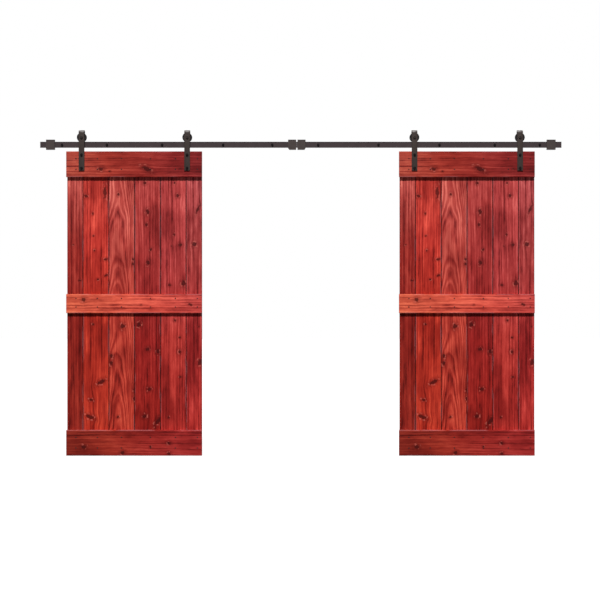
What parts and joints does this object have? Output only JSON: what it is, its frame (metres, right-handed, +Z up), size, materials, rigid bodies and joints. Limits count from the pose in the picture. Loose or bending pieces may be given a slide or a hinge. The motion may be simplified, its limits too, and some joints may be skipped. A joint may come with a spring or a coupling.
{
  "type": "sliding barn door",
  "caption": "Bi-parting board doors hung from a flat wall rail by strap hangers with grooved wheels that roll along it.",
  "frame": {"origin": "on the wall plane, at mid-rail and at the rail's mid-height", "axes": "+X along the rail, +Y into the wall, +Z up"},
  "size_m": [3.658, 0.1114, 2.2828],
  "materials": {
    "rail_coat": "dark brown-grey powder coat on flat bar",
    "stop_coat": "dark brown-grey powder coat on machined blocks",
    "strap_coat": "dark brown powder coat on bent strap",
    "wheel_coat": "near-black coat on a turned wheel",
    "bolt_black": "black oxide on hex bolts and nuts",
    "bare_steel": "bare turned and ground steel",
    "board_stain": "knotty pine boards with a red stain",
    "batten_stain": "pine battens with a red stain",
    "screw_dark": "dark countersunk screw heads under stain"
  },
  "bodies": {
    "track": {"rail_left": "rail_coat", "rail_right": "rail_coat", "rail_dowels": "bare_steel", "wall_spacers": "rail_coat", "wall_washers": "bolt_black", "wall_bolts": "bolt_black", "left_end_stop": "stop_coat", "right_end_stop": "stop_coat", "left_centre_stop": "stop_coat", "right_centre_stop": "stop_coat", "stop_screws": "bolt_black"},
    "left_door": {"left_board_1": "board_stain", "left_board_2": "board_stain", "left_board_3": "board_stain", "left_board_4": "board_stain", "left_board_5": "board_stain", "left_board_6": "board_stain", "left_top_batten": "batten_stain", "left_middle_batten": "batten_stain", "left_bottom_batten": "batten_stain", "left_batten_screws": "screw_dark", "left_outer_hanger": "strap_coat", "left_inner_hanger": "strap_coat", "left_hanger_bolts": "bolt_black", "left_hanger_washers": "bolt_black", "left_hanger_nuts": "bolt_black", "left_axle_bolts": "bolt_black", "left_axle_sleeves": "bare_steel", "left_axle_nuts": "bolt_black", "left_bearing_inner_rings": "bare_steel", "left_bearing_balls": "bare_steel"},
    "right_door": {"right_board_1": "board_stain", "right_board_2": "board_stain", "right_board_3": "board_stain", "right_board_4": "board_stain", "right_board_5": "board_stain", "right_board_6": "board_stain", "right_top_batten": "batten_stain", "right_middle_batten": "batten_stain", "right_bottom_batten": "batten_stain", "right_batten_screws": "screw_dark", "right_outer_hanger": "strap_coat", "right_inner_hanger": "strap_coat", "right_hanger_bolts": "bolt_black", "right_hanger_washers": "bolt_black", "right_hanger_nuts": "bolt_black", "right_axle_bolts": "bolt_black", "right_axle_sleeves": "bare_steel", "right_axle_nuts": "bolt_black", "right_bearing_inner_rings": "bare_steel", "right_bearing_balls": "bare_steel"},
    "left_outer_roller": {"left_outer_wheel": "wheel_coat", "left_outer_wheel_bearing_ring": "bare_steel"},
    "left_inner_roller": {"left_inner_wheel": "wheel_coat", "left_inner_wheel_bearing_ring": "bare_steel"},
    "right_outer_roller": {"right_outer_wheel": "wheel_coat", "right_outer_wheel_bearing_ring": "bare_steel"},
    "right_inner_roller": {"right_inner_wheel": "wheel_coat", "right_inner_wheel_bearing_ring": "bare_steel"}
  },
  "joints": [
    {"name": "left_door_slide", "type": "slide", "parent": "track", "child": "left_door", "axis": [1, 0, 0], "range_m": [-0.1585, 0.6645]},
    {"name": "left_outer_wheel_spin", "type": "hinge", "parent": "left_door", "child": "left_outer_roller", "pos_m": [-1.537, -0.035, 0.0513], "axis": [0, 1, 0], "continuous": true},
    {"name": "left_inner_wheel_spin", "type": "hinge", "parent": "left_door", "child": "left_inner_roller", "pos_m": [-0.797, -0.035, 0.0513], "axis": [0, 1, 0], "continuous": true},
    {"name": "right_door_slide", "type": "slide", "parent": "track", "child": "right_door", "axis": [-1, 0, 0], "range_m": [-0.1585, 0.7155]},
    {"name": "right_outer_wheel_spin", "type": "hinge", "parent": "right_door", "child": "right_outer_roller", "pos_m": [1.537, -0.035, 0.0513], "axis": [0, 1, 0], "continuous": true},
    {"name": "right_inner_wheel_spin", "type": "hinge", "parent": "right_door", "child": "right_inner_roller", "pos_m": [0.797, -0.035, 0.0513], "axis": [0, 1, 0], "continuous": true}
  ],
  "couplings": [
    {"joint": "left_outer_wheel_spin", "follows": "left_door_slide", "rad_per_m": 33.333},
    {"joint": "left_inner_wheel_spin", "follows": "left_door_slide", "rad_per_m": 33.333},
    {"joint": "right_outer_wheel_spin", "follows": "right_door_slide", "rad_per_m": -33.333},
    {"joint": "right_inner_wheel_spin", "follows": "right_door_slide", "rad_per_m": -33.333}
  ]
}
